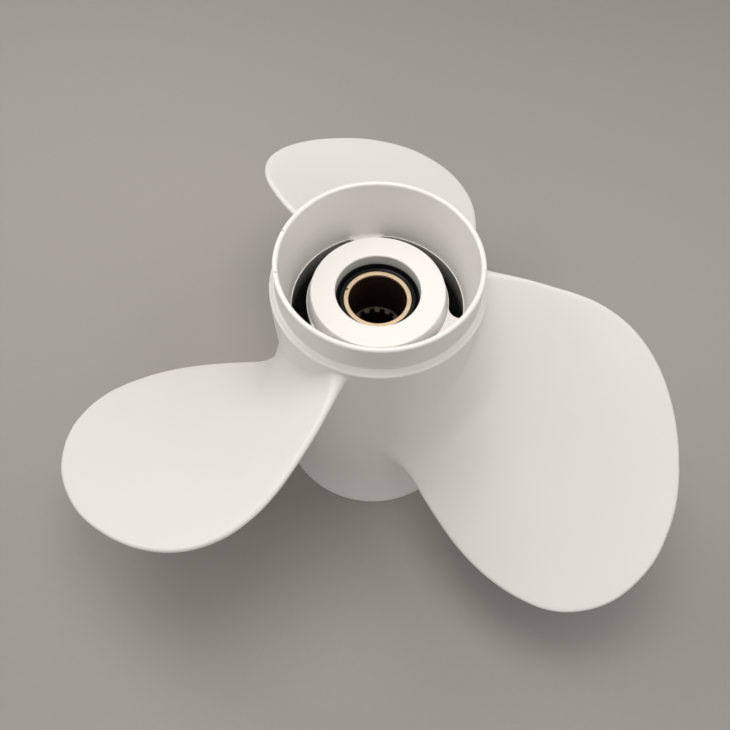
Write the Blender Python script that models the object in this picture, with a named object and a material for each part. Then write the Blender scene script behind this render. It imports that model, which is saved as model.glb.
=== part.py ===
"""Three-bladed outboard propeller with a through-hub exhaust.

One painted casting (hub barrel, inner hub, three ribs and three blades), a rubber
drive bush pressed into the inner hub, and a splined brass sleeve bonded in the bush.
Metres. +Z runs along the shaft towards the front end, and the origin is on the axis
in the plane of the rear end, on which the propeller stands.
"""

import math

import bmesh
import bpy
import numpy as np
from mathutils import Vector
from mathutils.geometry import delaunay_2d_cdt

# Driving dimensions of the blades
TIP_RADIUS = 0.1713
PITCH = 0.382
PITCH_GAIN = 0.0058
BLADE_HEIGHT = 0.0925
RAKE_SLOPE = 0.2325
RAKE_RELIEF = 0.69
BLADE_AZIMUTHS = (90.0, 210.0, 330.0)
EDGE_THICKNESS = 0.0028
ROOT_THICKNESS = 0.0105
TIP_THICKNESS = 0.0034
FRONT_FILLET = 0.021
REAR_FILLET = 0.009
EDGE_FILLET = 0.012
FILLET_RISE = 0.020
LEADING_FRONT_SHARE = 0.16
LEADING_REAR_SHARE = 0.26

# Driving dimensions of the hub barrel
HUB_LENGTH = 0.1635
LIP_RADIUS = 0.0470
LIP_WALL = 0.0025
STEP_HEIGHT = 0.1494
STEP_START = 0.1460
STEP_RADIUS = 0.0500
WAIST_RADIUS = 0.0494
REAR_RADIUS = 0.0548
REAR_WALL = 0.0027
REAR_EDGE = 0.0006

# Driving dimensions of the inner hub and the exhaust passages
BOSS_TOP = 0.1412
BOSS_RADIUS = 0.0316
BOSS_FOOT_RADIUS = 0.0332
BUSH_BORE = 0.0200
RIB_TOP_INNER = 0.1335
RIB_TOP_OUTER = 0.1307
WEB_REAR = 0.0620
INNER_HUB_REAR = 0.0460
SLOT_INNER = 0.0337
SLOT_OUTER = 0.0410
FUNNEL_END = 0.0414
PASSAGE_OUTER = 0.0450
PASSAGE_INNER = 0.0300
SLOT_SPANS = ((-11.0, 91.8), (109.0, 211.8), (229.0, 331.8))

# Driving dimensions of the bush and the sleeve
GAP = 0.0003
COLLAR_TOP = 0.1342
COLLAR_RADIUS = 0.0183
BUSH_LIP = 0.1353
BUSH_SHOULDER = 0.1326
BUSH_REAR = 0.0500
SLEEVE_TOP = 0.1340
SLEEVE_REAR = 0.0430
SLEEVE_OUTER = 0.0161
SLEEVE_INNER = 0.0140
SPLINE_TOP = 0.1060
SPLINE_MAJOR = 0.0136
SPLINE_MINOR = 0.0121
SPLINE_TEETH = 15

# Blade outline: radius, then the angles of the leading and the trailing edge
OUTLINE = (
    (0.0470, 44.2, -38.0),
    (0.0610, 43.3, -37.7),
    (0.0850, 40.2, -35.3),
    (0.1130, 35.8, -31.8),
    (0.1270, 31.9, -29.4),
    (0.1410, 25.7, -26.4),
    (0.1505, 19.5, -24.0),
    (0.1600, 11.6, -20.2),
    (0.1683, 2.3, -14.1),
    (TIP_RADIUS, -6.5, -6.5),
)

# The barrel is made in thirds, each from this angle before its blade's own azimuth
SECTOR_START = -66.0

# Mesh density
SECTOR_SEGMENTS = 21
BARREL_SPACING = 0.0080
FILLET_STEPS = 4
BLADE_STATIONS = 14
CHORD_STEPS = 14
TIP_STATION = 0.975


def clear_scene():
    for scene_object in list(bpy.data.objects):
        bpy.data.objects.remove(scene_object, do_unlink=True)


def make_material(name, colour, roughness, metallic=0.0):
    material = bpy.data.materials.new(name)
    material.use_nodes = True
    shader = material.node_tree.nodes["Principled BSDF"]
    shader.inputs["Base Color"].default_value = (*colour, 1.0)
    shader.inputs["Roughness"].default_value = roughness
    shader.inputs["Metallic"].default_value = metallic
    return material


def link_mesh(name, mesh_builder, material=None):
    """Make an object from a bmesh, with its faces pointing out."""
    bmesh.ops.recalc_face_normals(mesh_builder, faces=mesh_builder.faces)
    mesh = bpy.data.meshes.new(name)
    mesh_builder.to_mesh(mesh)
    mesh_builder.free()
    mesh.shade_smooth()
    mesh.set_sharp_from_angle(angle=math.radians(35))
    new_object = bpy.data.objects.new(name, mesh)
    bpy.context.scene.collection.objects.link(new_object)
    if material:
        mesh.materials.append(material)
    return new_object


def rounded_corner(centre, radius, start, end, steps=3):
    """Points of an arc in the (radius, height) plane, angles in degrees."""
    angles = np.radians(np.linspace(start, end, steps + 1))
    return [(centre[0] + radius * math.cos(a), centre[1] + radius * math.sin(a)) for a in angles]


def eased(low, high, fraction):
    """A value between low and high with a level start and end."""
    return low + (high - low) * fraction * fraction * (3.0 - 2.0 * fraction)


def barrel_radius(height):
    """Outer radius of the barrel below its front step: flared rear end, waist, shoulder."""
    flare_height = 0.042
    shoulder_start = 0.110
    shoulder_height = 0.030
    if height < flare_height:
        return WAIST_RADIUS + (REAR_RADIUS - WAIST_RADIUS) * (1.0 - height / flare_height) ** 3
    rise = min(max((height - shoulder_start) / shoulder_height, 0.0), 1.0)
    return eased(WAIST_RADIUS, STEP_RADIUS, rise)


def turned(name, profile, material, segments):
    """Turn a closed (radius, height) profile about the Z axis."""
    builder = bmesh.new()
    rings = []
    for step in range(segments):
        angle = 2.0 * math.pi * step / segments
        ring = [builder.verts.new((r * math.cos(angle), r * math.sin(angle), z)) for r, z in profile]
        rings.append(ring)
    join_rings(builder, rings + rings[:1])
    return link_mesh(name, builder, material)


def join_rings(builder, rings):
    """Faces between closed rings of equal point counts."""
    count = len(rings[0])
    for lower, upper in zip(rings, rings[1:]):
        for i in range(count):
            j = (i + 1) % count
            builder.faces.new((lower[i], lower[j], upper[j], upper[i]))


def lofted(name, sections):
    """Join closed sections of equal point counts into one solid with flat ends."""
    builder = bmesh.new()
    rings = [[builder.verts.new(point) for point in section] for section in sections]
    join_rings(builder, rings)
    builder.faces.new(rings[0])
    builder.faces.new(list(reversed(rings[-1])))
    return link_mesh(name, builder)


def front_profile():
    """Outline from the barrel's front step over the lip and down the funnel to the ribs."""
    lip_inner = LIP_RADIUS - LIP_WALL
    rim = HUB_LENGTH - 0.0010
    step_edge = 0.0012
    points = rounded_corner((STEP_RADIUS - step_edge, STEP_START + 0.0002), step_edge, 0, 70, 2)
    points += [(LIP_RADIUS + 0.0009, STEP_HEIGHT - 0.0006), (LIP_RADIUS, STEP_HEIGHT + 0.0004)]
    points += rounded_corner((LIP_RADIUS - 0.0010, rim), 0.0010, 0, 90, 2)
    points += rounded_corner((lip_inner + 0.0010, rim), 0.0010, 90, 180, 2)
    funnel_end = RIB_TOP_OUTER + 0.0022
    points += [(0.5 * (lip_inner + FUNNEL_END) + 0.0002, 0.5 * (rim + funnel_end))]
    return points + [(FUNNEL_END + 0.0002, funnel_end)]


def boss_profile():
    """Outline of the rib tops, of the boss and of the bore for the bush."""
    fillet = 0.0020
    points = rounded_corner((FUNNEL_END - fillet, RIB_TOP_OUTER + fillet), fillet, -20, -65, 1)
    points += [(BOSS_FOOT_RADIUS + 0.0005, RIB_TOP_INNER), (BOSS_FOOT_RADIUS, RIB_TOP_INNER + 0.0006)]
    points += rounded_corner((BOSS_RADIUS - 0.0008, BOSS_TOP - 0.0008), 0.0008, 0, 90, 2)
    return points + [
        (BUSH_BORE + 0.0007, BOSS_TOP),
        (BUSH_BORE, BOSS_TOP - 0.0007),
        (BUSH_BORE, INNER_HUB_REAR + 0.0007),
        (BUSH_BORE + 0.0007, INNER_HUB_REAR),
    ]


def rear_profile():
    """Outline of the inner hub's rear, of the webs, and of the barrel's inside and rear."""
    return [
        (PASSAGE_INNER - 0.0045, INNER_HUB_REAR),
        (PASSAGE_INNER - 0.0025, INNER_HUB_REAR + 0.0020),
        (PASSAGE_INNER, WEB_REAR),
        (PASSAGE_OUTER, WEB_REAR),
        (PASSAGE_OUTER + 0.0010, 0.040),
        (PASSAGE_OUTER + 0.0030, 0.020),
        (REAR_RADIUS - REAR_WALL, 0.0012),
        (REAR_RADIUS - REAR_WALL + 0.0006, 0.0),
        (barrel_radius(REAR_EDGE) - REAR_EDGE, 0.0),
        (barrel_radius(REAR_EDGE), REAR_EDGE),
    ]


def slot_outline(inner, outer, start, end, round_steps=5, arc_steps=11):
    """Plan of a curved slot with round ends, about the Z axis."""
    middle = 0.5 * (inner + outer)
    half = 0.5 * (outer - inner)
    inset = half / middle
    arc = np.linspace(math.radians(start) + inset, math.radians(end) - inset, arc_steps)
    turn = np.radians(np.linspace(90.0, -90.0, round_steps + 1)[1:-1])
    points = [(angle, outer) for angle in arc]
    points += [(arc[-1] + inset * math.cos(t), middle + half * math.sin(t)) for t in turn]
    points += [(angle, inner) for angle in reversed(arc)]
    points += [(arc[0] - inset * math.cos(t), middle + half * math.sin(t)) for t in reversed(turn)]
    return [(radius * math.cos(angle), radius * math.sin(angle)) for angle, radius in points]


def passage_cutter(index, start, end):
    """One exhaust passage: narrow at its mouth, wider behind it."""
    levels = (
        (WEB_REAR - 0.0040, PASSAGE_INNER + 0.0006, PASSAGE_OUTER - 0.0006),
        (0.1050, PASSAGE_INNER + 0.0012, PASSAGE_OUTER - 0.0010),
        (0.1180, SLOT_INNER - 0.0008, SLOT_OUTER + 0.0010),
        (RIB_TOP_OUTER - 0.0011, SLOT_INNER, SLOT_OUTER),
        (RIB_TOP_INNER + 0.0015, SLOT_INNER, SLOT_OUTER),
    )
    sections = [[(x, y, z) for x, y in slot_outline(inner, outer, start, end)] for z, inner, outer in levels]
    return lofted("passage_cutter_%d" % index, sections)


def smooth_curve(rows, fractions):
    """Read a smooth curve through the rows of a table, by distance along it."""
    points = np.array(rows, dtype=float)
    lengths = np.linalg.norm(np.diff(points, axis=0), axis=1)
    along = np.concatenate(([0.0], np.cumsum(lengths)))
    slopes = np.gradient(points, along, axis=0)
    distance = np.asarray(fractions) * along[-1]
    i = np.clip(np.searchsorted(along, distance, side="right") - 1, 0, len(points) - 2)
    span = (along[i + 1] - along[i])[:, None]
    t = (distance - along[i])[:, None] / span
    start = (2 * t**3 - 3 * t**2 + 1) * points[i] + (t**3 - 2 * t**2 + t) * span * slopes[i]
    end = (3 * t**2 - 2 * t**3) * points[i + 1] + (t**3 - t**2) * span * slopes[i + 1]
    return start + end


def outline_curves():
    """The leading and the trailing edge as dense (radius, angle) curves from root to tip."""
    reference = 0.5 * TIP_RADIUS
    leading = [(r, reference * math.radians(lead)) for r, lead, trail in OUTLINE]
    trailing = [(r, reference * math.radians(trail)) for r, lead, trail in OUTLINE]
    curve = smooth_curve(leading + trailing[-2::-1], np.linspace(0.0, 1.0, 801))
    curve[:, 1] /= reference
    tip = int(np.argmax(curve[:, 0]))
    return curve[: tip + 1], curve[tip:][::-1]


def along_edge(curve, root_radii, spread):
    """Points of one edge: at the given radii near the root, then spread out to the tip."""
    steps = np.linalg.norm(np.diff(curve * (1.0, 0.5 * TIP_RADIUS), axis=0), axis=1)
    along = np.concatenate(([0.0], np.cumsum(steps)))
    near_root = np.interp(root_radii, curve[:, 0], along)
    rest = near_root[-1] + spread * (along[-1] - near_root[-1])
    places = np.concatenate([near_root, rest])
    return np.stack([np.interp(places, along, curve[:, k]) for k in range(2)], axis=1)


def blade_surface(radius, angle):
    """Point of the middle surface of a blade that points along X."""
    outboard = radius - LIP_RADIUS
    height = BLADE_HEIGHT + PITCH / (2.0 * math.pi) * angle + PITCH_GAIN * angle**2
    height -= RAKE_SLOPE * outboard - RAKE_RELIEF * outboard**2
    return np.stack([radius * np.cos(angle), radius * np.sin(angle), height], axis=-1)


def surface_normals(radius, angle):
    middle = blade_surface(radius, angle)
    small = 1e-4
    by_radius = blade_surface(radius + small * 0.1, angle) - middle
    by_angle = blade_surface(radius, angle + small) - middle
    normals = np.cross(by_radius, by_angle)
    return normals / np.linalg.norm(normals, axis=-1, keepdims=True)


def outline_distance(radius, angle, outline):
    """Distance on the blade from each point to the nearest point of the outline."""
    stretch = np.sqrt(radius**2 + (PITCH / (2.0 * math.pi)) ** 2)
    across = (angle[..., None] - outline[:, 1]) * stretch[..., None]
    outward = radius[..., None] - outline[:, 0]
    return np.sqrt((across**2 + outward**2).min(axis=-1))


def fillet_share(across, leading_share, reach):
    """The root fillet is full towards the trailing edge and small at the leading edge."""
    return eased(leading_share, 1.0, np.clip(across / reach, 0.0, 1.0))


def half_thickness(distance, nose, across, crown):
    """Half the thickness of a section: a round edge that rises to a crowned middle."""
    roundness = np.sqrt(1.0 - (1.0 - np.clip(distance / nose, 0.02, 1.0)) ** 2)
    edge = 0.5 * EDGE_THICKNESS
    return nose * roundness + (crown - edge) * (4.0 * across * (1.0 - across)) ** 0.75


def held_to_barrel(normals, middle, swelling):
    """Normals turned so that the sections near the root spread along the barrel."""
    radial = middle * (1.0, 1.0, 0.0)
    radial /= np.linalg.norm(radial, axis=-1, keepdims=True)
    hold = swelling[:, None, None] ** 0.5
    turned_normals = normals - hold * (normals * radial).sum(axis=-1, keepdims=True) * radial
    return turned_normals / np.linalg.norm(turned_normals, axis=-1, keepdims=True)


def blade_sections(chord_steps, fillet_steps, stations):
    """Closed sections of a blade along X: the first lies on the barrel, the last at the tip."""
    turn = np.radians(np.linspace(0.0, 90.0, fillet_steps + 1))
    rise = FILLET_RISE * (1.0 - np.cos(turn))
    swelling = np.concatenate([1.0 - np.sin(turn), np.zeros(stations)])
    spread = 1.0 - (1.0 - np.linspace(0.0, 1.0, stations + 1)[1:]) ** 1.7
    spread *= TIP_STATION
    leading_curve, trailing_curve = outline_curves()
    lead = along_edge(leading_curve, WAIST_RADIUS + rise, spread)
    trail = along_edge(trailing_curve, WAIST_RADIUS + rise, spread)
    slant = np.cos(np.arctan(PITCH / (2.0 * math.pi) / lead[:, 0]))
    lead[:, 1] += LEADING_REAR_SHARE * REAR_FILLET * swelling * slant / lead[:, 0]
    trail[:, 1] -= EDGE_FILLET * swelling * slant / trail[:, 0]

    across = 0.5 - 0.5 * np.cos(np.pi * np.linspace(0.0, 1.0, chord_steps + 1))
    radius = lead[:, None, 0] + (trail[:, None, 0] - lead[:, None, 0]) * across
    angle = lead[:, None, 1] + (trail[:, None, 1] - lead[:, None, 1]) * across
    middle = blade_surface(radius, angle)
    normals = held_to_barrel(surface_normals(radius, angle), middle, swelling)

    distance = outline_distance(radius, angle, np.concatenate([leading_curve, trailing_curve]))
    chord = np.linalg.norm(middle[:, -1] - middle[:, 0], axis=-1)[:, None]
    from_ends = np.minimum(across, 1.0 - across) * chord
    distance = np.where(swelling[:, None] > 0.0, from_ends, np.minimum(distance, from_ends))
    outboard = np.clip((radius - LIP_RADIUS) / (TIP_RADIUS - LIP_RADIUS), 0.0, 1.0)
    crown = 0.5 * (ROOT_THICKNESS + (TIP_THICKNESS - ROOT_THICKNESS) * outboard**0.7)
    edge = 0.5 * EDGE_THICKNESS
    front_share = fillet_share(across, LEADING_FRONT_SHARE, 0.65)
    rear_share = fillet_share(across, LEADING_REAR_SHARE, 0.35)
    front_nose = edge + FRONT_FILLET * swelling[:, None] * front_share
    rear_nose = edge + REAR_FILLET * swelling[:, None] * rear_share
    front = middle + normals * half_thickness(distance, front_nose, across, crown)[..., None]
    rear = middle - normals * half_thickness(distance, rear_nose, across, crown)[..., None]
    sections = np.concatenate([front, rear[:, ::-1]], axis=1)
    seat_on_barrel(sections, np.concatenate([rise, np.full(stations, np.inf)]))
    return sections


def seat_on_barrel(sections, rise):
    """Put the first section on the barrel, and ease the next ones to their own radius."""
    for section, height in zip(sections, rise):
        if height > FILLET_RISE:
            continue
        keep = height / FILLET_RISE
        own = np.hypot(section[:, 0], section[:, 1])
        seated = np.array([barrel_radius(z) for z in section[:, 2]]) + height
        section[:, :2] *= (keep + (1.0 - keep) * seated / own)[:, None]


def turned_about_z(points, degrees):
    angle = math.radians(degrees)
    cosine, sine = math.cos(angle), math.sin(angle)
    return np.asarray(points) @ np.array([[cosine, sine, 0.0], [-sine, cosine, 0.0], [0.0, 0.0, 1.0]])


def inside_outline(x, y, outline):
    """Whether a flat point lies inside a closed outline."""
    inside = False
    for (ax, ay), (bx, by) in zip(outline, np.roll(outline, -1, axis=0)):
        if (ay > y) != (by > y) and x < ax + (y - ay) * (bx - ax) / (by - ay):
            inside = not inside
    return inside


def barrel_sheet(footprint, sector_segments, spacing):
    """A third of the barrel's outer wall, laid flat, with a hole for one blade's root.

    Returns the flat points (arc length, height) and the triangles between them. The
    footprint's points come first."""
    length = STEP_START - REAR_EDGE
    rows = max(int(round(length / spacing)), 2)
    left = math.radians(SECTOR_START) * WAIST_RADIUS
    width = math.radians(120.0) * WAIST_RADIUS
    columns = left + width * np.arange(sector_segments + 1) / sector_segments
    heights = REAR_EDGE + length * np.arange(rows + 1) / rows
    points = [tuple(point) for point in footprint]
    count = len(points)
    clearance = 0.45 * min(spacing, width / sector_segments)
    for y in heights:
        for x in columns:
            on_border = y in (heights[0], heights[-1]) or x in (columns[0], columns[-1])
            near = np.hypot(footprint[:, 0] - x, footprint[:, 1] - y).min()
            if on_border or (near > clearance and not inside_outline(x, y, footprint)):
                points.append((x, y))
    edges = [(i, (i + 1) % count) for i in range(count)]
    flat, _, faces, _, _, _ = delaunay_2d_cdt([Vector(point) for point in points], edges, [], 0, 1e-7)
    kept = []
    for face in faces:
        centre = sum((flat[i] for i in face), Vector((0.0, 0.0))) / 3.0
        if not inside_outline(centre.x, centre.y, footprint):
            kept.append(tuple(face))
    return flat, kept


def add_blade_sector(builder, azimuth, sections, spacing):
    """One blade and the third of the barrel's outer wall that carries it."""
    root = sections[0]
    footprint = np.stack([np.arctan2(root[:, 1], root[:, 0]) * WAIST_RADIUS, root[:, 2]], axis=1)
    flat, faces = barrel_sheet(footprint, SECTOR_SEGMENTS, spacing)
    wall = []
    for x, y in flat:
        angle = x / WAIST_RADIUS
        wall.append((barrel_radius(y) * math.cos(angle), barrel_radius(y) * math.sin(angle), y))
    wall_points = [builder.verts.new(point) for point in turned_about_z(wall, azimuth)]
    for face in faces:
        builder.faces.new([wall_points[i] for i in face])
    rings = [wall_points[: len(footprint)]]
    rings += [[builder.verts.new(p) for p in turned_about_z(s, azimuth)] for s in sections[1:]]
    join_rings(builder, rings)
    builder.faces.new(rings[-1])


def add_hub(builder, profile):
    """The turned part of the casting, open where the barrel's outer wall joins it."""
    segments = 3 * SECTOR_SEGMENTS
    rows = []
    for step in range(segments):
        angle = math.radians(BLADE_AZIMUTHS[0] + SECTOR_START + 360.0 * step / segments)
        rows.append([builder.verts.new((r * math.cos(angle), r * math.sin(angle), z)) for r, z in profile])
    for step in range(segments):
        row, following = rows[step], rows[(step + 1) % segments]
        for i in range(len(profile) - 1):
            builder.faces.new((row[i], row[i + 1], following[i + 1], following[i]))


def add_boolean(target, operand, operation):
    """Cut target with operand, which is kept only as a guide."""
    modifier = target.modifiers.new(operand.name, "BOOLEAN")
    modifier.operation = operation
    modifier.solver = "EXACT"
    modifier.object = operand
    operand.hide_render = True
    operand.display_type = "WIRE"


def make_casting(material):
    """Barrel, inner hub, ribs and blades, with the exhaust passages cut out."""
    builder = bmesh.new()
    sections = blade_sections(CHORD_STEPS, FILLET_STEPS, BLADE_STATIONS)
    for azimuth in BLADE_AZIMUTHS:
        add_blade_sector(builder, azimuth, sections, BARREL_SPACING)
    step_foot = [(barrel_radius(STEP_START), STEP_START)]
    add_hub(builder, step_foot + front_profile() + boss_profile() + rear_profile())
    bmesh.ops.remove_doubles(builder, verts=builder.verts, dist=1e-5)
    casting = link_mesh("casting", builder, material)
    for index, (start, end) in enumerate(SLOT_SPANS):
        add_boolean(casting, passage_cutter(index, start, end), "DIFFERENCE")
    return casting


def make_rubber_bush(material):
    """Bush between the inner hub and the sleeve, with a raised collar round the sleeve."""
    outer = BUSH_BORE - GAP
    inner = SLEEVE_OUTER + GAP
    profile = [(outer, BUSH_REAR), (outer, BUSH_LIP), (outer - 0.0004, BUSH_LIP)]
    profile += [(outer - 0.0008, BUSH_SHOULDER), (COLLAR_RADIUS, BUSH_SHOULDER)]
    profile += rounded_corner((COLLAR_RADIUS - 0.0007, COLLAR_TOP - 0.0007), 0.0007, 0, 90, 2)
    profile += [(inner, COLLAR_TOP), (inner, BUSH_REAR)]
    return turned("rubber_bush", profile, material, 48)


def spline_cutter():
    """Star-shaped bar that leaves the sleeve's teeth standing."""
    step = 2.0 * math.pi / SPLINE_TEETH
    outline = []
    for tooth in range(SPLINE_TEETH):
        centre = math.radians(90.0) + (tooth + 0.5) * step
        shape = ((-0.50, 0.95), (-0.30, 0.95), (-0.22, 1.0), (0.22, 1.0), (0.30, 0.95))
        for offset, level in shape:
            radius = SPLINE_MAJOR if level == 1.0 else SPLINE_MINOR - 0.0004
            angle = centre + offset * step
            outline.append((radius * math.cos(angle), radius * math.sin(angle)))
    heights = (SLEEVE_REAR - 0.002, SPLINE_TOP + 0.002)
    return lofted("spline_cutter", [[(x, y, z) for x, y in outline] for z in heights])


def make_splined_sleeve(material):
    """Sleeve with a smooth counterbore at its front and splines behind it."""
    chamfer = 0.0002
    profile = [
        (SLEEVE_OUTER - chamfer, SLEEVE_REAR),
        (SLEEVE_OUTER, SLEEVE_REAR + chamfer),
        (SLEEVE_OUTER, SLEEVE_TOP - chamfer),
        (SLEEVE_OUTER - chamfer, SLEEVE_TOP),
        (SLEEVE_INNER + chamfer, SLEEVE_TOP),
        (SLEEVE_INNER, SLEEVE_TOP - chamfer),
        (SLEEVE_INNER, SPLINE_TOP + 0.0008),
        (SPLINE_MINOR, SPLINE_TOP - 0.0008),
        (SPLINE_MINOR, SLEEVE_REAR),
    ]
    sleeve = turned("splined_sleeve", profile, material, 60)
    add_boolean(sleeve, spline_cutter(), "DIFFERENCE")
    return sleeve


def main():
    clear_scene()
    make_casting(make_material("white_paint", (0.83, 0.82, 0.80), 0.38))
    make_rubber_bush(make_material("black_rubber", (0.012, 0.012, 0.014), 0.55))
    make_splined_sleeve(make_material("sleeve_brass", (0.78, 0.60, 0.36), 0.35, 1.0))


main()
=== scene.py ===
"""Looks of the outboard propeller: a fine casting, rubber bush and splined sleeve that
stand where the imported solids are, with a floor, soft light and the camera."""

import math

import bmesh
import bpy
import numpy as np
from mathutils import Matrix, Vector
from mathutils.geometry import delaunay_2d_cdt


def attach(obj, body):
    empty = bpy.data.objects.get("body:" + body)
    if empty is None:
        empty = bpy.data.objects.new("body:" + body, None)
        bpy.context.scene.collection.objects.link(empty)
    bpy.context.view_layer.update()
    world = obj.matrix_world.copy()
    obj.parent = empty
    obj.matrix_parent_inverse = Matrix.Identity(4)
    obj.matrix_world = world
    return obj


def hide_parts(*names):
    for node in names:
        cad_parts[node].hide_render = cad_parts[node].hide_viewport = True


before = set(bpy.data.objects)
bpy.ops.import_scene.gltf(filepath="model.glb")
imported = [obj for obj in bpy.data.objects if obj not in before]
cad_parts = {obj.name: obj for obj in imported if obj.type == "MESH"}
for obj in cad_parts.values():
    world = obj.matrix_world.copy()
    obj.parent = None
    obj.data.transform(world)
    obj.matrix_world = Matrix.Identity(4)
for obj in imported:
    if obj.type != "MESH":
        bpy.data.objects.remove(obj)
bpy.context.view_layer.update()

# Blades
TIP_RADIUS = 0.1712
PITCH = 0.382
PITCH_GAIN = 0.0058
BLADE_HEIGHT = 0.0925
RAKE_SLOPE = 0.2325
RAKE_RELIEF = 0.69
BLADE_AZIMUTHS = (90.0, 210.0, 330.0)
EDGE_THICKNESS = 0.0028
ROOT_THICKNESS = 0.0105
TIP_THICKNESS = 0.0034
CROWN_EXPONENT = 0.9
THINNING_EXPONENT = 0.7
REAR_FILLET = 0.009
FRONT_FILLET = 0.021
FILLET_RISE = 0.020
EDGE_FILLET = 0.012
LEADING_REAR_SHARE = 0.26
LEADING_FRONT_SHARE = 0.16

# Hub barrel
HUB_LENGTH = 0.1635
LIP_RADIUS = 0.0470
LIP_WALL = 0.0025
STEP_HEIGHT = 0.1494
STEP_START = 0.1460
STEP_RADIUS = 0.0500
WAIST_RADIUS = 0.0494
REAR_RADIUS = 0.0548
REAR_WALL = 0.0027
REAR_EDGE = 0.0006
FLARE_HEIGHT = 0.042
SHOULDER_START = 0.110
SHOULDER_HEIGHT = 0.030
RIM_ROUNDING = 0.0012
FUNNEL_BULGE = 0.0003

# Inner hub and exhaust passages
BOSS_TOP = 0.1412
BOSS_RADIUS = 0.0316
BOSS_FOOT_RADIUS = 0.0332
BUSH_BORE = 0.0200
RIB_TOP_INNER = 0.1335
RIB_TOP_OUTER = 0.1307
WEB_REAR = 0.0620
INNER_HUB_REAR = 0.0460
SLOT_INNER = 0.0337
SLOT_OUTER = 0.0410
FUNNEL_END = 0.0414
PASSAGE_OUTER = 0.0450
PASSAGE_INNER = 0.0300
SLOT_SPANS = ((-11.0, 91.8), (109.0, 211.8), (229.0, 331.8))

# Bush and sleeve
GAP = 0.0003
COLLAR_TOP = 0.1342
COLLAR_RADIUS = 0.0183
BUSH_LIP = 0.1353
BUSH_SHOULDER = 0.1326
BUSH_REAR = 0.0500
SLEEVE_TOP = 0.1340
SLEEVE_REAR = 0.0430
SLEEVE_OUTER = 0.0161
SLEEVE_INNER = 0.0140
SPLINE_TOP = 0.1060
SPLINE_MAJOR = 0.0136
SPLINE_MINOR = 0.0121
SPLINE_TEETH = 15

# Blade outline: radius, then the angles of the leading and the trailing edge
OUTLINE = (
    (0.0470, 44.2, -38.0),
    (0.0610, 43.3, -37.7),
    (0.0850, 40.2, -35.3),
    (0.1130, 35.8, -31.8),
    (0.1270, 31.9, -29.4),
    (0.1410, 25.7, -26.4),
    (0.1505, 19.5, -23.9),
    (0.1599, 11.5, -20.1),
    (0.1682, 2.3, -14.1),
    (TIP_RADIUS, -6.5, -6.5),
)

# Roots of the blades: how far the fillet's small share at the leading edge reaches across
FRONT_SHARE_REACH = 0.65
REAR_SHARE_REACH = 0.35

# Small marks, and a painted highlight on the bush's collar: where each lies and how far it reaches
RIM_SPECKS = ((-0.04387, 0.01363, 0.1635), (-0.04451, -0.00959, 0.1635))
EDGE_CHIPS = ((0.1455, -0.0880, 0.0737), (0.1447, -0.0899, 0.0728), (0.1440, -0.0912, 0.0722))
BORE_NICK = (0.00518, 0.01976, 0.1353)
SLEEVE_NICK = (-0.01488, 0.00467, 0.1340)
# Painted highlight on the bush's collar
COLLAR_SHEEN_PLACE = (0.0078, 0.0153, 0.1342)
SPECK_REACH = 0.0006
CHIP_REACH = 0.0011
NICK_REACH = 0.0009
SHEEN_REACH = 0.0085
SHEEN_BAND = (0.0166, 0.0178)

# The barrel is made in thirds, each from this angle before its blade's own azimuth
SECTOR_START = -66.0

# Colours of the paint and of its marks, and of painted shade in the passages, on the bore wall and at
# the boss's foot
PAINT_COLOURS = ((0.84, 0.812, 0.785), (0.86, 0.836, 0.812))
PASSAGE_SHADE_COLOUR = (0.05, 0.05, 0.052)
BORE_SHADE_COLOUR = (0.55, 0.555, 0.545)
BOSS_FOOT_SHADE_COLOUR = (0.34, 0.365, 0.385)
SPECK_COLOUR = (0.36, 0.34, 0.32)
CHIP_COLOUR = (0.34, 0.34, 0.33)
BORE_NICK_COLOUR = (0.03, 0.03, 0.03)

# Colours of the bush, the sleeve and the floor
RUBBER_COLOURS = ((0.003, 0.003, 0.004), (0.007, 0.007, 0.008))
# Painted highlight on the collar
COLLAR_SHEEN_COLOUR = (0.032, 0.030, 0.038)
BRASS_COLOURS = ((0.74, 0.58, 0.39), (0.64, 0.48, 0.31))
BORE_INSIDE_COLOURS = ((0.040, 0.018, 0.009), (0.020, 0.010, 0.006))
SLEEVE_NICK_COLOUR = (0.06, 0.035, 0.02)
TOOTH_END_COLOUR = (0.17, 0.135, 0.11)
FLOOR_COLOURS = ((0.385, 0.360, 0.340), (0.400, 0.375, 0.355))

# Camera, fitted to the ellipses and outlines in the photograph
CAMERA_PLACE = (0.0, -0.1901, 0.4025)
CAMERA_FORWARD = (-0.01364, 0.49643, -0.86797)
CAMERA_ROLL = 1.414
CAMERA_LENS = 34.11

# Light: name, place, size and strength of each lamp, all aimed at one point
LIGHT_TARGET = (0.0, 0.0, 0.08)
LIGHT_COLOUR = (1.0, 0.98, 0.95)
WORLD_COLOUR = (1.0, 0.985, 0.965, 1.0)
WORLD_STRENGTH = 0.15
LIGHTS = (
    ("above", (0.0, 0.0, 1.5), 1.2, 4.05),
    ("front", (0.0, -1.2, 1.0), 0.9, 2.05),
    ("front_low", (0.0, -1.3, 0.35), 1.0, 2.60),
    ("left", (-1.3, 0.1, 0.9), 0.8, 3.60),
    ("right", (1.3, 0.1, 0.9), 0.8, 0.85),
    ("right_near", (0.75, 0.2, 0.60), 0.9, 1.60),
    ("left_high", (-0.55, 0.1, 1.3), 0.6, 0.62),
    ("above_near", (0.0, 0.05, 0.58), 0.30, 0.90),
    ("behind_left", (-0.45, 0.4, 0.6), 0.4, 1.40),
    ("behind_right", (0.45, 0.4, 0.6), 0.4, 0.26),
)

# Floor
FLOOR_HALF_WIDTH = 4.0
FLOOR_DROP = 0.0002

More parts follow.
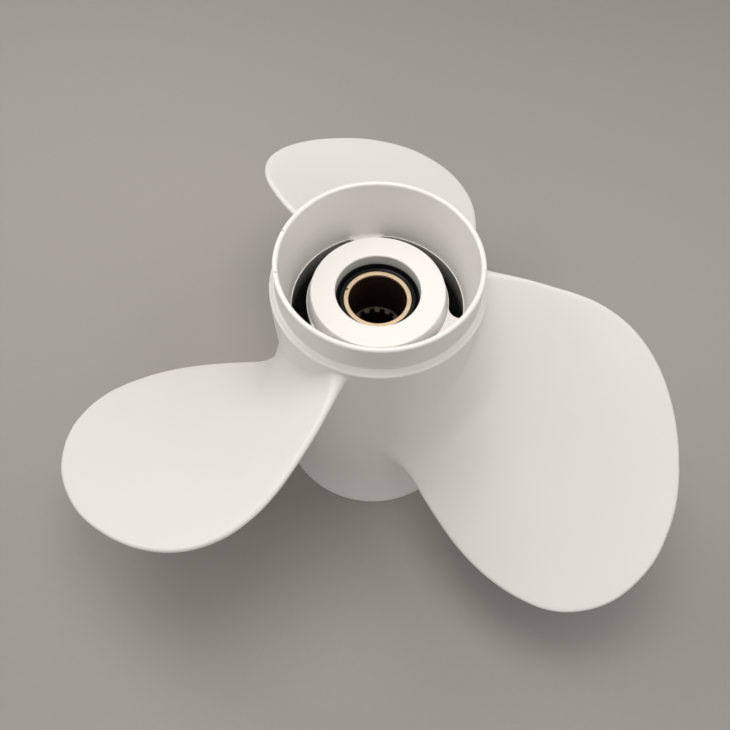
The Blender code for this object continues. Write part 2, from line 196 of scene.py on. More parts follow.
# Mesh density, welding and shading
SECTOR_SEGMENTS = 60
BARREL_SPACING = 0.0022
FILLET_STEPS = 10
BLADE_STATIONS = 56
CHORD_STEPS = 44
TIP_STATION = 0.998
TIP_CROWDING = 1.7
EDGE_POINTS = 1601
WELD_DISTANCE = 1e-5
SHARP_ANGLE = 35.0
SLEEVE_SHARP_ANGLE = 30.0


def link_mesh(name, builder, material):
    """Make an object from a bmesh, with its faces pointing out."""
    bmesh.ops.recalc_face_normals(builder, faces=builder.faces)
    mesh = bpy.data.meshes.new(name)
    builder.to_mesh(mesh)
    builder.free()
    mesh.shade_smooth()
    mesh.set_sharp_from_angle(angle=math.radians(SHARP_ANGLE))
    new_object = bpy.data.objects.new(name, mesh)
    bpy.context.scene.collection.objects.link(new_object)
    if material:
        mesh.materials.append(material)
    return new_object


def rounded_corner(centre, radius, start, end, steps):
    """Points of an arc in the (radius, height) plane, angles in degrees."""
    angles = np.radians(np.linspace(start, end, steps + 1))
    return [(centre[0] + radius * math.cos(a), centre[1] + radius * math.sin(a)) for a in angles]


def between(start, end, steps):
    """Points that divide a straight stretch, without its two ends."""
    return [tuple(np.add(start, np.subtract(end, start) * k / steps)) for k in range(1, steps)]


def eased(low, high, fraction):
    """A value between low and high with a level start and end."""
    return low + (high - low) * fraction * fraction * (3.0 - 2.0 * fraction)


def barrel_radius(height):
    """Outer radius of the barrel below its front step: flared rear end, waist, shoulder."""
    if height < FLARE_HEIGHT:
        return WAIST_RADIUS + (REAR_RADIUS - WAIST_RADIUS) * (1.0 - height / FLARE_HEIGHT) ** 3
    rise = min(max((height - SHOULDER_START) / SHOULDER_HEIGHT, 0.0), 1.0)
    return eased(WAIST_RADIUS, STEP_RADIUS, rise)


def join_rings(builder, rings):
    """Faces between closed rings of equal point counts."""
    count = len(rings[0])
    for lower, upper in zip(rings, rings[1:]):
        for i in range(count):
            j = (i + 1) % count
            builder.faces.new((lower[i], lower[j], upper[j], upper[i]))


def turned(name, profile, material, segments):
    """Turn a closed (radius, height) profile about the Z axis."""
    builder = bmesh.new()
    rings = []
    for step in range(segments):
        angle = 2.0 * math.pi * step / segments
        ring = [builder.verts.new((r * math.cos(angle), r * math.sin(angle), z)) for r, z in profile]
        rings.append(ring)
    join_rings(builder, rings + rings[:1])
    return link_mesh(name, builder, material)


def lofted(name, sections):
    """Join closed sections of equal point counts into one solid with flat ends."""
    builder = bmesh.new()
    rings = [[builder.verts.new(point) for point in section] for section in sections]
    join_rings(builder, rings)
    builder.faces.new(rings[0])
    builder.faces.new(list(reversed(rings[-1])))
    return link_mesh(name, builder, None)


def step_profile():
    """The barrel's front step: a gently sloping ledge below the lip."""
    edge = 0.0012
    fillet = 0.0010
    ledge = STEP_HEIGHT - 0.0006
    points = rounded_corner((STEP_RADIUS - edge, STEP_START + 0.0002), edge, 0, 70, 7)
    points += between(points[-1], (LIP_RADIUS + fillet, ledge), 3)
    points += rounded_corner((LIP_RADIUS + fillet, ledge + fillet), fillet, 258, 180, 5)
    return points


def lip_profile():
    """The lip's outer wall, its rounded rim and the funnel inside it."""
    rim = HUB_LENGTH - RIM_ROUNDING
    lip_inner = LIP_RADIUS - LIP_WALL
    points = between((LIP_RADIUS, STEP_HEIGHT + 0.0004), (LIP_RADIUS, rim), 5)
    points += rounded_corner((LIP_RADIUS - RIM_ROUNDING, rim), RIM_ROUNDING, 0, 90, 6)
    points += rounded_corner((lip_inner + RIM_ROUNDING, rim), RIM_ROUNDING, 90, 180, 6)
    foot = (FUNNEL_END + 0.0003, RIB_TOP_OUTER + 0.0022)
    for radius, height in between((lip_inner, rim), foot, 14):
        bulge = FUNNEL_BULGE * math.sin(math.pi * (height - foot[1]) / (rim - foot[1]))
        points.append((radius + bulge, height))
    return points


def boss_profile():
    """Rib tops between the funnel and the boss, the boss and the bore for the bush."""
    fillet = 0.0020
    foot = 0.0005
    edge = 0.0008
    rear_edge = 0.0007
    points = rounded_corner((FUNNEL_END - fillet + 0.0002, RIB_TOP_OUTER + fillet), fillet, 5, -65, 6)
    points += between(points[-1], (SLOT_INNER + 0.0001, RIB_TOP_INNER), 6)
    points += rounded_corner((BOSS_FOOT_RADIUS + foot, RIB_TOP_INNER + 0.0006), foot, 265, 190, 4)
    points += between(points[-1], (BOSS_RADIUS, BOSS_TOP - edge), 4)
    points += rounded_corner((BOSS_RADIUS - edge, BOSS_TOP - edge), edge, 8, 90, 6)
    points += between(points[-1], (BUSH_BORE + edge, BOSS_TOP), 5)
    points += rounded_corner((BUSH_BORE + edge, BOSS_TOP - edge), edge, 90, 180, 5)
    points += between(points[-1], (BUSH_BORE, INNER_HUB_REAR + rear_edge), 16)
    points += rounded_corner((BUSH_BORE + rear_edge, INNER_HUB_REAR + rear_edge), rear_edge, 180, 270, 4)
    return points


def rear_profile():
    """Rear of the inner hub and of the webs, the barrel's inside and its rear edge."""
    edge = REAR_EDGE
    outer = barrel_radius(edge)
    fillet = 0.0030
    web = WEB_REAR - fillet
    upper_wall = (PASSAGE_OUTER + 0.0010, 0.040)
    lower_wall = (PASSAGE_OUTER + 0.0030, 0.020)
    points = rounded_corner((PASSAGE_INNER - 0.0055, INNER_HUB_REAR + fillet), fillet, 270, 360, 6)
    points += between(points[-1], (PASSAGE_INNER - 0.0010, web), 5)
    points += rounded_corner((PASSAGE_INNER + 0.0020, web), fillet, 180, 90, 6)
    points += rounded_corner((PASSAGE_OUTER - fillet, web), fillet, 90, 0, 6)
    points += between((PASSAGE_OUTER, web), upper_wall, 6)
    points += between(upper_wall, lower_wall, 6)
    points += between(lower_wall, (REAR_RADIUS - REAR_WALL, 0.0012), 6)
    points += rounded_corner((REAR_RADIUS - REAR_WALL + edge, edge), edge, 180, 270, 4)
    points += rounded_corner((outer - edge, edge), edge, 270, 360, 5)
    return points


def hub_profile():
    """Outline of the hub from the step at the barrel's front, over the lip, through the
    inside and back to the barrel's rear edge. The barrel's outer wall closes it."""
    return step_profile() + lip_profile() + boss_profile() + rear_profile()


def slot_outline(inner, outer, start, end, round_steps=14, arc_steps=50):
    """Plan of a curved slot with round ends, about the Z axis."""
    middle = 0.5 * (inner + outer)
    half = 0.5 * (outer - inner)
    inset = half / middle
    arc = np.linspace(math.radians(start) + inset, math.radians(end) - inset, arc_steps)
    turn = np.radians(np.linspace(90.0, -90.0, round_steps + 1)[1:-1])
    points = [(angle, outer) for angle in arc]
    points += [(arc[-1] + inset * math.cos(t), middle + half * math.sin(t)) for t in turn]
    points += [(angle, inner) for angle in reversed(arc)]
    points += [(arc[0] - inset * math.cos(t), middle + half * math.sin(t)) for t in reversed(turn)]
    return [(radius * math.cos(angle), radius * math.sin(angle)) for angle, radius in points]


def passage_cutter(index, start, end):
    """One exhaust passage: a thin ledge round its mouth, an undercut below the ledge and
    a wider channel behind it."""
    ledge = RIB_TOP_OUTER - 0.0001
    levels = [
        (WEB_REAR - 0.0040, PASSAGE_INNER + 0.0006, PASSAGE_OUTER - 0.0006),
        (0.1050, PASSAGE_INNER + 0.0012, PASSAGE_OUTER - 0.0010),
        (0.1180, SLOT_INNER - 0.0008, SLOT_OUTER + 0.0010),
        (ledge - 0.0010, SLOT_INNER, SLOT_OUTER + 0.0005),
        (ledge - 0.0003, SLOT_INNER, SLOT_OUTER),
        (ledge, SLOT_INNER, SLOT_OUTER),
        (ledge + 0.0001, SLOT_INNER, FUNNEL_END),
        (ledge + 0.0055, SLOT_INNER, FUNNEL_END + 0.0003),
    ]
    sections = []
    for z, inner, outer in levels:
        sections.append([(x, y, z) for x, y in slot_outline(inner, outer, start, end)])
    return lofted("passage_cutter_%d" % index, sections)


def smooth_curve(rows, fractions):
    """Read a smooth curve through the rows of a table, by distance along it."""
    points = np.array(rows, dtype=float)
    lengths = np.linalg.norm(np.diff(points, axis=0), axis=1)
    along = np.concatenate(([0.0], np.cumsum(lengths)))
    slopes = np.gradient(points, along, axis=0)
    distance = np.asarray(fractions) * along[-1]
    i = np.clip(np.searchsorted(along, distance, side="right") - 1, 0, len(points) - 2)
    span = (along[i + 1] - along[i])[:, None]
    t = (distance - along[i])[:, None] / span
    start = (2 * t**3 - 3 * t**2 + 1) * points[i] + (t**3 - 2 * t**2 + t) * span * slopes[i]
    end = (3 * t**2 - 2 * t**3) * points[i + 1] + (t**3 - t**2) * span * slopes[i + 1]
    return start + end


def outline_curves():
    """The leading and the trailing edge as dense (radius, angle) curves from root to tip."""
    reference = 0.5 * TIP_RADIUS
    leading = [(r, reference * math.radians(lead)) for r, lead, trail in OUTLINE]
    trailing = [(r, reference * math.radians(trail)) for r, lead, trail in OUTLINE]
    curve = smooth_curve(leading + trailing[-2::-1], np.linspace(0.0, 1.0, EDGE_POINTS))
    curve[:, 1] /= reference
    tip = int(np.argmax(curve[:, 0]))
    return curve[: tip + 1], curve[tip:][::-1]


def along_edge(curve, root_radii, spread):
    """Points of one edge: at the given radii near the root, then spread out to the tip."""
    steps = np.linalg.norm(np.diff(curve * (1.0, 0.5 * TIP_RADIUS), axis=0), axis=1)
    along = np.concatenate(([0.0], np.cumsum(steps)))
    near_root = np.interp(root_radii, curve[:, 0], along)
    rest = near_root[-1] + spread * (along[-1] - near_root[-1])
    places = np.concatenate([near_root, rest])
    return np.stack([np.interp(places, along, curve[:, k]) for k in range(2)], axis=1)


def blade_surface(radius, angle):
    """Point of the middle surface of a blade that points along X."""
    outboard = radius - LIP_RADIUS
    height = BLADE_HEIGHT + PITCH / (2.0 * math.pi) * angle + PITCH_GAIN * angle**2
    height -= RAKE_SLOPE * outboard - RAKE_RELIEF * outboard**2
    return np.stack([radius * np.cos(angle), radius * np.sin(angle), height], axis=-1)


def surface_normals(radius, angle):
    """Normals of a blade's middle surface, towards the front of the propeller."""
    middle = blade_surface(radius, angle)
    small = 1e-4
    by_radius = blade_surface(radius + small * 0.1, angle) - middle
    by_angle = blade_surface(radius, angle + small) - middle
    normals = np.cross(by_radius, by_angle)
    return normals / np.linalg.norm(normals, axis=-1, keepdims=True)


def outline_distance(radius, angle, outline):
    """Distance on the blade from each point to the nearest point of the outline."""
    stretch = np.sqrt(radius**2 + (PITCH / (2.0 * math.pi)) ** 2)
    across = (angle[..., None] - outline[:, 1]) * stretch[..., None]
    outward = radius[..., None] - outline[:, 0]
    return np.sqrt((across**2 + outward**2).min(axis=-1))


def fillet_share(across, leading_share, reach):
    """The root fillet is full towards the trailing edge and small at the leading edge."""
    return eased(leading_share, 1.0, np.clip(across / reach, 0.0, 1.0))


def half_thickness(distance, nose, across, crown):
    """Half the thickness of a section: a round edge that rises to a crowned middle."""
    roundness = np.sqrt(1.0 - (1.0 - np.clip(distance / nose, 0.0004, 1.0)) ** 2)
    edge = 0.5 * EDGE_THICKNESS
    return nose * roundness + (crown - edge) * (4.0 * across * (1.0 - across)) ** CROWN_EXPONENT


def blade_sections(chord_steps, fillet_steps, stations):
    """Closed sections of a blade along X: the first lies on the barrel, the last at the tip."""
    turn = np.radians(np.linspace(0.0, 90.0, fillet_steps + 1))
    rise = FILLET_RISE * (1.0 - np.cos(turn))
    swelling = np.concatenate([1.0 - np.sin(turn), np.zeros(stations)])
    spread = 1.0 - (1.0 - np.linspace(0.0, 1.0, stations + 1)[1:]) ** TIP_CROWDING
    spread *= TIP_STATION
    leading_curve, trailing_curve = outline_curves()
    lead = along_edge(leading_curve, WAIST_RADIUS + rise, spread)
    trail = along_edge(trailing_curve, WAIST_RADIUS + rise, spread)
    slant = np.cos(np.arctan(PITCH / (2.0 * math.pi) / lead[:, 0]))
    lead[:, 1] += LEADING_REAR_SHARE * REAR_FILLET * swelling * slant / lead[:, 0]
    trail[:, 1] -= EDGE_FILLET * swelling * slant / trail[:, 0]

    across = 0.5 - 0.5 * np.cos(np.pi * np.linspace(0.0, 1.0, chord_steps + 1))
    radius = lead[:, None, 0] + (trail[:, None, 0] - lead[:, None, 0]) * across
    angle = lead[:, None, 1] + (trail[:, None, 1] - lead[:, None, 1]) * across
    middle = blade_surface(radius, angle)
    normals = surface_normals(radius, angle)

    # The sections near the root spread along the barrel, not away from it
    radial = middle * (1.0, 1.0, 0.0)
    radial /= np.linalg.norm(radial, axis=-1, keepdims=True)
    hold = swelling[:, None, None] ** 0.5
    normals = normals - hold * (normals * radial).sum(axis=-1, keepdims=True) * radial
    normals /= np.linalg.norm(normals, axis=-1, keepdims=True)

    outline = np.concatenate([leading_curve, trailing_curve])
    distance = outline_distance(radius, angle, outline)
    chord = np.linalg.norm(middle[:, -1] - middle[:, 0], axis=-1)[:, None]
    from_ends = np.minimum(across, 1.0 - across) * chord
    distance = np.where(swelling[:, None] > 0.0, from_ends, np.minimum(distance, from_ends))
    outboard = np.clip((radius - LIP_RADIUS) / (TIP_RADIUS - LIP_RADIUS), 0.0, 1.0)
    crown = 0.5 * (ROOT_THICKNESS + (TIP_THICKNESS - ROOT_THICKNESS) * outboard**THINNING_EXPONENT)
    edge = 0.5 * EDGE_THICKNESS
    front_share = fillet_share(across, LEADING_FRONT_SHARE, FRONT_SHARE_REACH)
    rear_share = fillet_share(across, LEADING_REAR_SHARE, REAR_SHARE_REACH)
    front_nose = edge + FRONT_FILLET * swelling[:, None] * front_share
    rear_nose = edge + REAR_FILLET * swelling[:, None] * rear_share
    front = middle + normals * half_thickness(distance, front_nose, across, crown)[..., None]
    rear = middle - normals * half_thickness(distance, rear_nose, across, crown)[..., None]
    sections = np.concatenate([front, rear[:, ::-1]], axis=1)
    seat_on_barrel(sections, np.concatenate([rise, np.full(stations, np.inf)]))
    return sections


def seat_on_barrel(sections, rise):
    """Put the first section on the barrel, and ease the next ones to their own radius."""
    for section, height in zip(sections, rise):
        if height > FILLET_RISE:
            continue
        keep = height / FILLET_RISE
        own = np.hypot(section[:, 0], section[:, 1])
        seated = np.array([barrel_radius(z) for z in section[:, 2]]) + height
        section[:, :2] *= (keep + (1.0 - keep) * seated / own)[:, None]


def turned_about_z(points, degrees):
    """Points turned about the shaft axis."""
    angle = math.radians(degrees)
    cosine, sine = math.cos(angle), math.sin(angle)
    return np.asarray(points) @ np.array([[cosine, sine, 0.0], [-sine, cosine, 0.0], [0.0, 0.0, 1.0]])


def inside_outline(x, y, outline):
    """Whether flat points lie inside a closed outline."""
    ax, ay = outline[:, 0], outline[:, 1]
    bx, by = np.roll(ax, -1), np.roll(ay, -1)
    crosses = (ay > y) != (by > y)
    rise = np.where(by == ay, 1.0, by - ay)
    return bool((crosses & (x < ax + (y - ay) * (bx - ax) / rise)).sum() % 2)


def barrel_sheet(footprint, sector_segments, spacing):
    """A third of the barrel's outer wall, laid flat, with a hole for one blade's root.

    Returns the flat points (arc length, height) and the triangles between them. The
    footprint's points come first."""
    length = STEP_START - REAR_EDGE
    rows = max(int(round(length / spacing)), 2)
    left = math.radians(SECTOR_START) * WAIST_RADIUS
    width = math.radians(120.0) * WAIST_RADIUS
    columns = left + width * np.arange(sector_segments + 1) / sector_segments
    heights = REAR_EDGE + length * np.arange(rows + 1) / rows
    points = [tuple(point) for point in footprint]
    count = len(points)
    clearance = 0.45 * min(spacing, width / sector_segments)
    for y in heights:
        for x in columns:
            on_border = y in (heights[0], heights[-1]) or x in (columns[0], columns[-1])
            near = np.hypot(footprint[:, 0] - x, footprint[:, 1] - y).min()
            if on_border or (near > clearance and not inside_outline(x, y, footprint)):
                points.append((x, y))
    edges = [(i, (i + 1) % count) for i in range(count)]
    flat, _, faces, _, _, _ = delaunay_2d_cdt([Vector(point) for point in points], edges, [], 0, 1e-7)
    kept = []
    for face in faces:
        centre = sum((flat[i] for i in face), Vector((0.0, 0.0))) / 3.0
        if not inside_outline(centre.x, centre.y, footprint):
            kept.append(tuple(face))
    return flat, kept


def close_tip(builder, ring):
    """Cap a blade's last section with a strip between its front and its rear side."""
    for i in range(len(ring) // 2 - 1):
        builder.faces.new((ring[i], ring[i + 1], ring[-2 - i], ring[-1 - i]))


def add_blade_sector(builder, azimuth, sections, sheet):
    """One blade and the third of the barrel's outer wall that carries it."""
    flat, faces = sheet
    wall = []
    for x, y in flat:
        angle = x / WAIST_RADIUS
        wall.append((barrel_radius(y) * math.cos(angle), barrel_radius(y) * math.sin(angle), y))
    wall_points = [builder.verts.new(point) for point in turned_about_z(wall, azimuth)]
    for face in faces:
        builder.faces.new([wall_points[i] for i in face])
    rings = [wall_points[: len(sections[0])]]
    rings += [[builder.verts.new(p) for p in turned_about_z(s, azimuth)] for s in sections[1:]]
    join_rings(builder, rings)
    close_tip(builder, rings[-1])


def add_hub(builder, profile):
    """The turned part of the casting, open where the barrel's outer wall joins it."""
    segments = 3 * SECTOR_SEGMENTS
    rows = []
    for step in range(segments):
        angle = math.radians(BLADE_AZIMUTHS[0] + SECTOR_START + 360.0 * step / segments)
        cosine, sine = math.cos(angle), math.sin(angle)
        rows.append([builder.verts.new((r * cosine, r * sine, z)) for r, z in profile])
    for step in range(segments):
        row, following = rows[step], rows[(step + 1) % segments]
        for i in range(len(profile) - 1):
            builder.faces.new((row[i], row[i + 1], following[i + 1], following[i]))


def apply_boolean(target, operand):
    """Cut target with operand and remove the operand."""
    modifier = target.modifiers.new("cut", "BOOLEAN")
    modifier.operation = "DIFFERENCE"
    modifier.solver = "EXACT"
    modifier.object = operand
    evaluated = target.evaluated_get(bpy.context.evaluated_depsgraph_get())
    result = bpy.data.meshes.new_from_object(evaluated)
    target.modifiers.clear()
    target.data = result
    bpy.data.objects.remove(operand, do_unlink=True)


def make_casting(material):
    """Barrel, inner hub, ribs and blades, with the exhaust passages cut out."""
    builder = bmesh.new()
    sections = blade_sections(CHORD_STEPS, FILLET_STEPS, BLADE_STATIONS)
    root = sections[0]
    footprint = np.stack([np.arctan2(root[:, 1], root[:, 0]) * WAIST_RADIUS, root[:, 2]], axis=1)
    sheet = barrel_sheet(footprint, SECTOR_SEGMENTS, BARREL_SPACING)
    for azimuth in BLADE_AZIMUTHS:
        add_blade_sector(builder, azimuth, sections, sheet)
    add_hub(builder, [(barrel_radius(STEP_START), STEP_START)] + hub_profile())
    bmesh.ops.remove_doubles(builder, verts=builder.verts, dist=WELD_DISTANCE)
    casting = link_mesh("painted_casting", builder, material)
    for index, (start, end) in enumerate(SLOT_SPANS):
        apply_boolean(casting, passage_cutter(index, start, end))
    casting.data.set_sharp_from_angle(angle=math.radians(SHARP_ANGLE))
    return casting


def make_rubber_bush(material):
    """Bush between the inner hub and the sleeve, with a raised collar round the sleeve."""
    outer = BUSH_BORE - GAP
    inner = SLEEVE_OUTER + GAP
    profile = [(outer, BUSH_REAR), (outer, BUSH_LIP), (outer - 0.0004, BUSH_LIP)]
    profile += between(profile[-1], (outer - 0.0008, BUSH_SHOULDER + 0.0003), 3)
    profile += rounded_corner((COLLAR_RADIUS + 0.0003, BUSH_SHOULDER + 0.0003), 0.0003, 270, 180, 4)
    profile += rounded_corner((COLLAR_RADIUS - 0.0007, COLLAR_TOP - 0.0007), 0.0007, 0, 90, 5)
    profile += [(inner, COLLAR_TOP), (inner, BUSH_REAR)]
    return turned("bush_rubber", profile, material, 128)


def spline_cutter():
    """Star-shaped bar that leaves the sleeve's teeth standing."""
    step = 2.0 * math.pi / SPLINE_TEETH
    outline = []
    for tooth in range(SPLINE_TEETH):
        centre = math.radians(90.0) + (tooth + 0.5) * step
        shape = ((-0.50, 0.95), (-0.30, 0.95), (-0.22, 1.0), (0.0, 1.0), (0.22, 1.0), (0.30, 0.95))
        for offset, level in shape:
            radius = SPLINE_MAJOR if level == 1.0 else SPLINE_MINOR - 0.0004
            angle = centre + offset * step
            outline.append((radius * math.cos(angle), radius * math.sin(angle)))
    heights = (SLEEVE_REAR - 0.002, SPLINE_TOP + 0.002)
    return lofted("spline_cutter", [[(x, y, z) for x, y in outline] for z in heights])


def make_splined_sleeve(material):
    """Sleeve with a smooth counterbore at its front and splines behind it."""
    chamfer = 0.0002
    profile = [(SLEEVE_OUTER - chamfer, SLEEVE_REAR), (SLEEVE_OUTER, SLEEVE_REAR + chamfer)]
    profile += rounded_corner((SLEEVE_OUTER - chamfer, SLEEVE_TOP - chamfer), chamfer, 0, 90, 4)
    profile += rounded_corner((SLEEVE_INNER + chamfer, SLEEVE_TOP - chamfer), chamfer, 90, 180, 4)
    profile += between(profile[-1], (SLEEVE_INNER, SPLINE_TOP + 0.0008), 8)
    profile += [(SLEEVE_INNER, SPLINE_TOP + 0.0008), (SPLINE_MINOR, SPLINE_TOP - 0.0008)]
    profile += [(SPLINE_MINOR, SLEEVE_REAR)]
    sleeve = turned("brass_sleeve", profile, material, 150)
    apply_boolean(sleeve, spline_cutter())
    sleeve.data.set_sharp_from_angle(angle=math.radians(SLEEVE_SHARP_ANGLE))
    return sleeve


class Nodes:
    """Adds nodes to a material and links them by name."""

    def __init__(self, name):
        self.material = bpy.data.materials.new(name)
        self.material.use_nodes = True
        self.tree = self.material.node_tree
        self.shader = self.tree.nodes["Principled BSDF"]

    def add(self, kind, **settings):
        """Add a node and set its properties."""
        node = self.tree.nodes.new(kind)
        for key, value in settings.items():
            setattr(node, key, value)
        return node

    def link(self, source, target):
        self.tree.links.new(source, target)

    def ramp(self, source, low, high, low_value, high_value):
        """Map a value between two limits, clamped."""
        node = self.add("ShaderNodeMapRange")
        self.link(source, node.inputs["Value"])
        node.inputs["From Min"].default_value = low
        node.inputs["From Max"].default_value = high
        node.inputs["To Min"].default_value = low_value
        node.inputs["To Max"].default_value = high_value
        return node.outputs["Result"]

    def mix(self, factor, first, second):
        """Colour between two, each a link or a plain colour."""
        node = self.add("ShaderNodeMix", data_type="RGBA")
        sockets = (node.inputs[0], node.inputs[6], node.inputs[7])
        for value, socket in zip((factor, first, second), sockets):
            if isinstance(value, bpy.types.NodeSocket):
                self.link(value, socket)
            elif isinstance(value, tuple):
                socket.default_value = (*value, 1.0)
            else:
                socket.default_value = value
        return node.outputs[2]

    def noise(self, scale, detail=2.0, roughness=0.5):
        """Smooth noise in the object's own space."""
        node = self.add("ShaderNodeTexNoise")
        self.link(self.place(), node.inputs["Vector"])
        node.inputs["Scale"].default_value = scale
        node.inputs["Detail"].default_value = detail
        node.inputs["Roughness"].default_value = roughness
        return node.outputs["Fac"]

    def place(self):
        """Position of the shaded point, from one shared node."""
        if not hasattr(self, "coordinates"):
            self.coordinates = self.add("ShaderNodeTexCoord").outputs["Object"]
        return self.coordinates

    def bump(self, height, distance, strength, normal=None):
        """Slight relief, on top of another where one is given."""
        node = self.add("ShaderNodeBump")
        self.link(height, node.inputs["Height"])
        node.inputs["Distance"].default_value = distance
        node.inputs["Strength"].default_value = strength
        if normal:
            self.link(normal, node.inputs["Normal"])
        return node.outputs["Normal"]

    def times(self, first, second):
        """Product of two values."""
        node = self.add("ShaderNodeMath", operation="MULTIPLY")
        self.link(first, node.inputs[0])
        self.link(second, node.inputs[1])
        return node.outputs["Value"]

    def height(self):
        """Height of the shaded point above the floor."""
        node = self.add("ShaderNodeSeparateXYZ")
        self.link(self.place(), node.inputs[0])
        return node.outputs["Z"]

    def from_axis(self):
        """Distance of the shaded point from the shaft axis."""
        flat = self.add("ShaderNodeVectorMath", operation="MULTIPLY")
        self.link(self.place(), flat.inputs[0])
        flat.inputs[1].default_value = (1.0, 1.0, 0.0)
        length = self.add("ShaderNodeVectorMath", operation="LENGTH")
        self.link(flat.outputs["Vector"], length.inputs[0])
        return length.outputs["Value"]

    def near(self, point, reach):
        """One at a point, and nothing at the given distance from it."""
        node = self.add("ShaderNodeVectorMath", operation="DISTANCE")
        self.link(self.place(), node.inputs[0])
        node.inputs[1].default_value = point
        return self.ramp(node.outputs["Value"], 0.5 * reach, reach, 1.0, 0.0)

    def band(self, value, low, high, soft):
        """One between two limits and nothing outside them, with soft ends."""
        start = self.ramp(value, low - soft, low, 0.0, 1.0)
        end = self.ramp(value, high, high + soft, 1.0, 0.0)
        return self.times(start, end)


def passage_shade(nodes):
    """Painted shade deep in the exhaust passages: how deep a point lies in them."""
    inside = nodes.ramp(nodes.from_axis(), 0.0462, 0.0470, 1.0, 0.0)
    height = nodes.height()
    deep = nodes.ramp(height, RIB_TOP_OUTER - 0.014, RIB_TOP_OUTER - 0.001, 1.0, 0.0)
    ahead_of_webs = nodes.ramp(height, INNER_HUB_REAR, WEB_REAR, 0.0, 1.0)
    return nodes.times(nodes.times(inside, deep), ahead_of_webs)


def bore_wall_shade(nodes):
    """Painted shade: a grey band on the boss's bore wall ahead of the bush."""
    across = nodes.band(nodes.from_axis(), BUSH_BORE - 0.0010, BUSH_BORE + 0.0002, 0.0002)
    along = nodes.band(nodes.height(), BUSH_SHOULDER, BOSS_TOP - 0.0009, 0.0003)
    return nodes.times(across, along)


def boss_foot_shade(nodes):
    """Painted shade on the boss's side, darker towards its foot."""
    side = nodes.band(nodes.from_axis(), BOSS_RADIUS - 0.0004, BOSS_FOOT_RADIUS + 0.0002, 0.0002)
    foot = nodes.ramp(nodes.height(), RIB_TOP_INNER, BOSS_TOP - 0.0012, 0.75, 0.0)
    return nodes.times(side, foot)


def paint_material():
    """Satin white paint over a casting, with a few specks, a chipped edge and painted shade in the
    passages, on the bore wall and at the boss's foot.
    """
    nodes = Nodes("white_paint")
    cloud = nodes.ramp(nodes.noise(9.0, 2.0), 0.35, 0.65, 0.0, 1.0)
    colour = nodes.mix(cloud, *PAINT_COLOURS)
    # Painted shade, darker deeper in the exhaust passages
    colour = nodes.mix(passage_shade(nodes), colour, PASSAGE_SHADE_COLOUR)
    # Painted shade on the boss's bore wall
    colour = nodes.mix(bore_wall_shade(nodes), colour, BORE_SHADE_COLOUR)
    # Painted shade on the boss's side towards its foot
    colour = nodes.mix(boss_foot_shade(nodes), colour, BOSS_FOOT_SHADE_COLOUR)
    for speck in RIM_SPECKS:
        colour = nodes.mix(nodes.near(speck, SPECK_REACH), colour, SPECK_COLOUR)
    worn = nodes.ramp(nodes.noise(900.0, 2.0), 0.42, 0.52, 0.0, 1.0)
    for chip in EDGE_CHIPS:
        chipped = nodes.times(nodes.near(chip, CHIP_REACH), worn)
        colour = nodes.mix(chipped, colour, CHIP_COLOUR)
    colour = nodes.mix(nodes.near(BORE_NICK, SPECK_REACH), colour, BORE_NICK_COLOUR)
    nodes.link(colour, nodes.shader.inputs["Base Color"])
    patch = nodes.noise(38.0, 3.0)
    nodes.link(nodes.ramp(patch, 0.3, 0.7, 0.30, 0.40), nodes.shader.inputs["Roughness"])
    peel = nodes.noise(620.0, 2.0)
    wave = nodes.noise(75.0, 1.0)
    normal = nodes.bump(peel, 0.00003, 0.6)
    normal = nodes.bump(wave, 0.00012, 0.4, normal)
    nodes.link(normal, nodes.shader.inputs["Normal"])
    nodes.shader.inputs["Specular IOR Level"].default_value = 0.45
    return nodes.material


def rubber_material():
    """Black moulded rubber, with a painted highlight at one place of the collar."""
    nodes = Nodes("black_rubber")
    fine = nodes.noise(900.0, 3.0)
    colour = nodes.mix(fine, *RUBBER_COLOURS)
    on_collar = nodes.band(nodes.from_axis(), *SHEEN_BAND, 0.0003)
    # Painted highlight at one place of the collar
    sheen = nodes.times(nodes.near(COLLAR_SHEEN_PLACE, SHEEN_REACH), on_collar)
    colour = nodes.mix(sheen, colour, COLLAR_SHEEN_COLOUR)
    nodes.link(colour, nodes.shader.inputs["Base Color"])
    nodes.link(nodes.ramp(fine, 0.3, 0.7, 0.42, 0.55), nodes.shader.inputs["Roughness"])
    nodes.link(nodes.bump(fine, 0.00004, 0.4), nodes.shader.inputs["Normal"])
    nodes.shader.inputs["Specular IOR Level"].default_value = 0.18
    return nodes.material


def brass_material():
    """Dull brass at the front ring, much darker inside the bore, dusty tooth ends."""
    nodes = Nodes("sleeve_brass")
    tarnish = nodes.ramp(nodes.noise(160.0, 4.0, 0.6), 0.35, 0.7, 0.0, 1.0)
    pale = nodes.mix(tarnish, *BRASS_COLOURS)
    pale = nodes.mix(nodes.near(SLEEVE_NICK, NICK_REACH), pale, SLEEVE_NICK_COLOUR)
    # Much darker brass inside the bore, below the front ring
    inside_colour = nodes.mix(tarnish, *BORE_INSIDE_COLOURS)
    height = nodes.height()
    tooth_ends = nodes.band(height, SPLINE_TOP - 0.0009, SPLINE_TOP + 0.0009, 0.0002)
    inside_colour = nodes.mix(tooth_ends, inside_colour, TOOTH_END_COLOUR)
    ring = nodes.ramp(height, SLEEVE_TOP - 0.0014, SLEEVE_TOP - 0.0004, 0.0, 1.0)
    nodes.link(nodes.mix(ring, inside_colour, pale), nodes.shader.inputs["Base Color"])
    nodes.link(nodes.ramp(ring, 0.0, 1.0, 0.15, 0.40), nodes.shader.inputs["Metallic"])
    nodes.link(nodes.ramp(tarnish, 0.0, 1.0, 0.46, 0.60), nodes.shader.inputs["Roughness"])
    nodes.link(nodes.bump(nodes.noise(1500.0), 0.00002, 0.5), nodes.shader.inputs["Normal"])
    return nodes.material


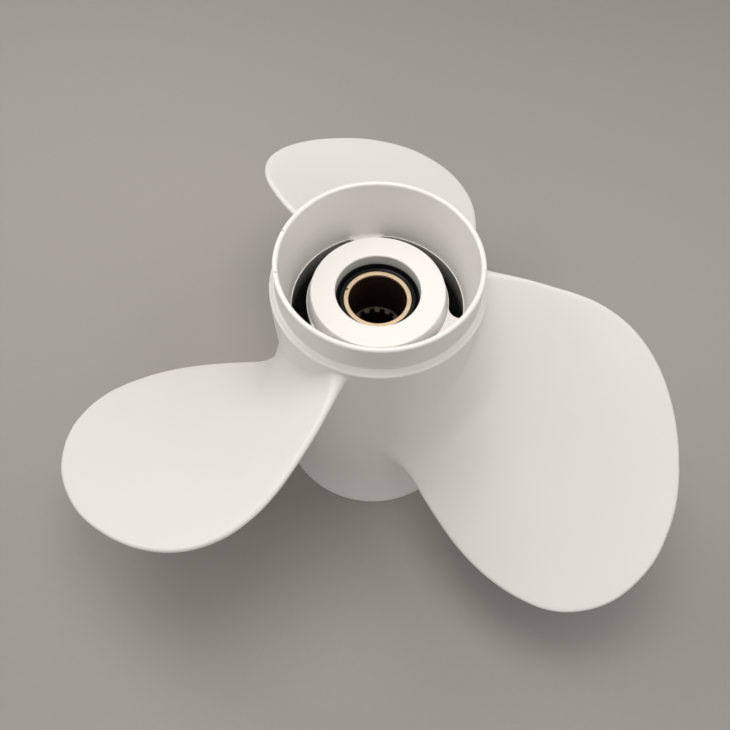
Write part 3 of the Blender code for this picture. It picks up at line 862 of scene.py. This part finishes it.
def floor_material():
    """Matt grey paper with hardly any grain."""
    nodes = Nodes("floor")
    speck = nodes.noise(300.0, 2.0)
    colour = nodes.mix(speck, *FLOOR_COLOURS)
    nodes.link(colour, nodes.shader.inputs["Base Color"])
    nodes.shader.inputs["Roughness"].default_value = 0.7
    nodes.shader.inputs["Specular IOR Level"].default_value = 0.2
    return nodes.material


def make_floor(material):
    """Plain ground under the propeller, which isn't part of it."""
    builder = bmesh.new()
    bmesh.ops.create_grid(builder, x_segments=4, y_segments=4, size=FLOOR_HALF_WIDTH)
    floor = link_mesh("floor", builder, material)
    floor.location.z = -FLOOR_DROP


def make_camera():
    """Camera above the front end, where the photograph was taken from."""
    forward = Vector(CAMERA_FORWARD).normalized()
    right = forward.cross(Vector((0.0, 0.0, 1.0))).normalized()
    up = right.cross(forward)
    roll = math.radians(CAMERA_ROLL)
    cosine, sine = math.cos(roll), math.sin(roll)
    right, up = right * cosine + up * sine, up * cosine - right * sine
    data = bpy.data.cameras.new("camera")
    data.sensor_width = 36.0
    data.lens = CAMERA_LENS
    data.clip_start = 0.01
    camera = bpy.data.objects.new("camera", data)
    rotation = Matrix((right, up, -forward)).transposed()
    camera.matrix_world = Matrix.Translation(CAMERA_PLACE) @ rotation.to_4x4()
    bpy.context.scene.collection.objects.link(camera)
    bpy.context.scene.camera = camera


def area_light(name, location, size, power):
    """A round lamp aimed at the propeller."""
    data = bpy.data.lights.new(name, "AREA")
    data.shape = "DISK"
    data.size = size
    data.energy = power
    data.color = LIGHT_COLOUR
    light = bpy.data.objects.new(name, data)
    light.location = location
    direction = Vector(LIGHT_TARGET) - Vector(location)
    light.rotation_euler = direction.to_track_quat("-Z", "Y").to_euler()
    bpy.context.scene.collection.objects.link(light)


def make_light():
    """Soft even light from all round above, a little stronger near the hub."""
    world = bpy.data.worlds.new("studio")
    world.use_nodes = True
    background = world.node_tree.nodes["Background"]
    background.inputs["Color"].default_value = WORLD_COLOUR
    background.inputs["Strength"].default_value = WORLD_STRENGTH
    bpy.context.scene.world = world
    for name, location, size, power in LIGHTS:
        area_light(name, location, size, power)


def place(piece, node):
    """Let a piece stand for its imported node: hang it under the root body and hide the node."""
    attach(piece, "root")
    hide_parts(node)


make_camera()
make_light()
make_floor(floor_material())
place(make_casting(paint_material()), "casting")
place(make_rubber_bush(rubber_material()), "rubber_bush")
place(make_splined_sleeve(brass_material()), "splined_sleeve")

bpy.context.scene.view_settings.view_transform = "Standard"
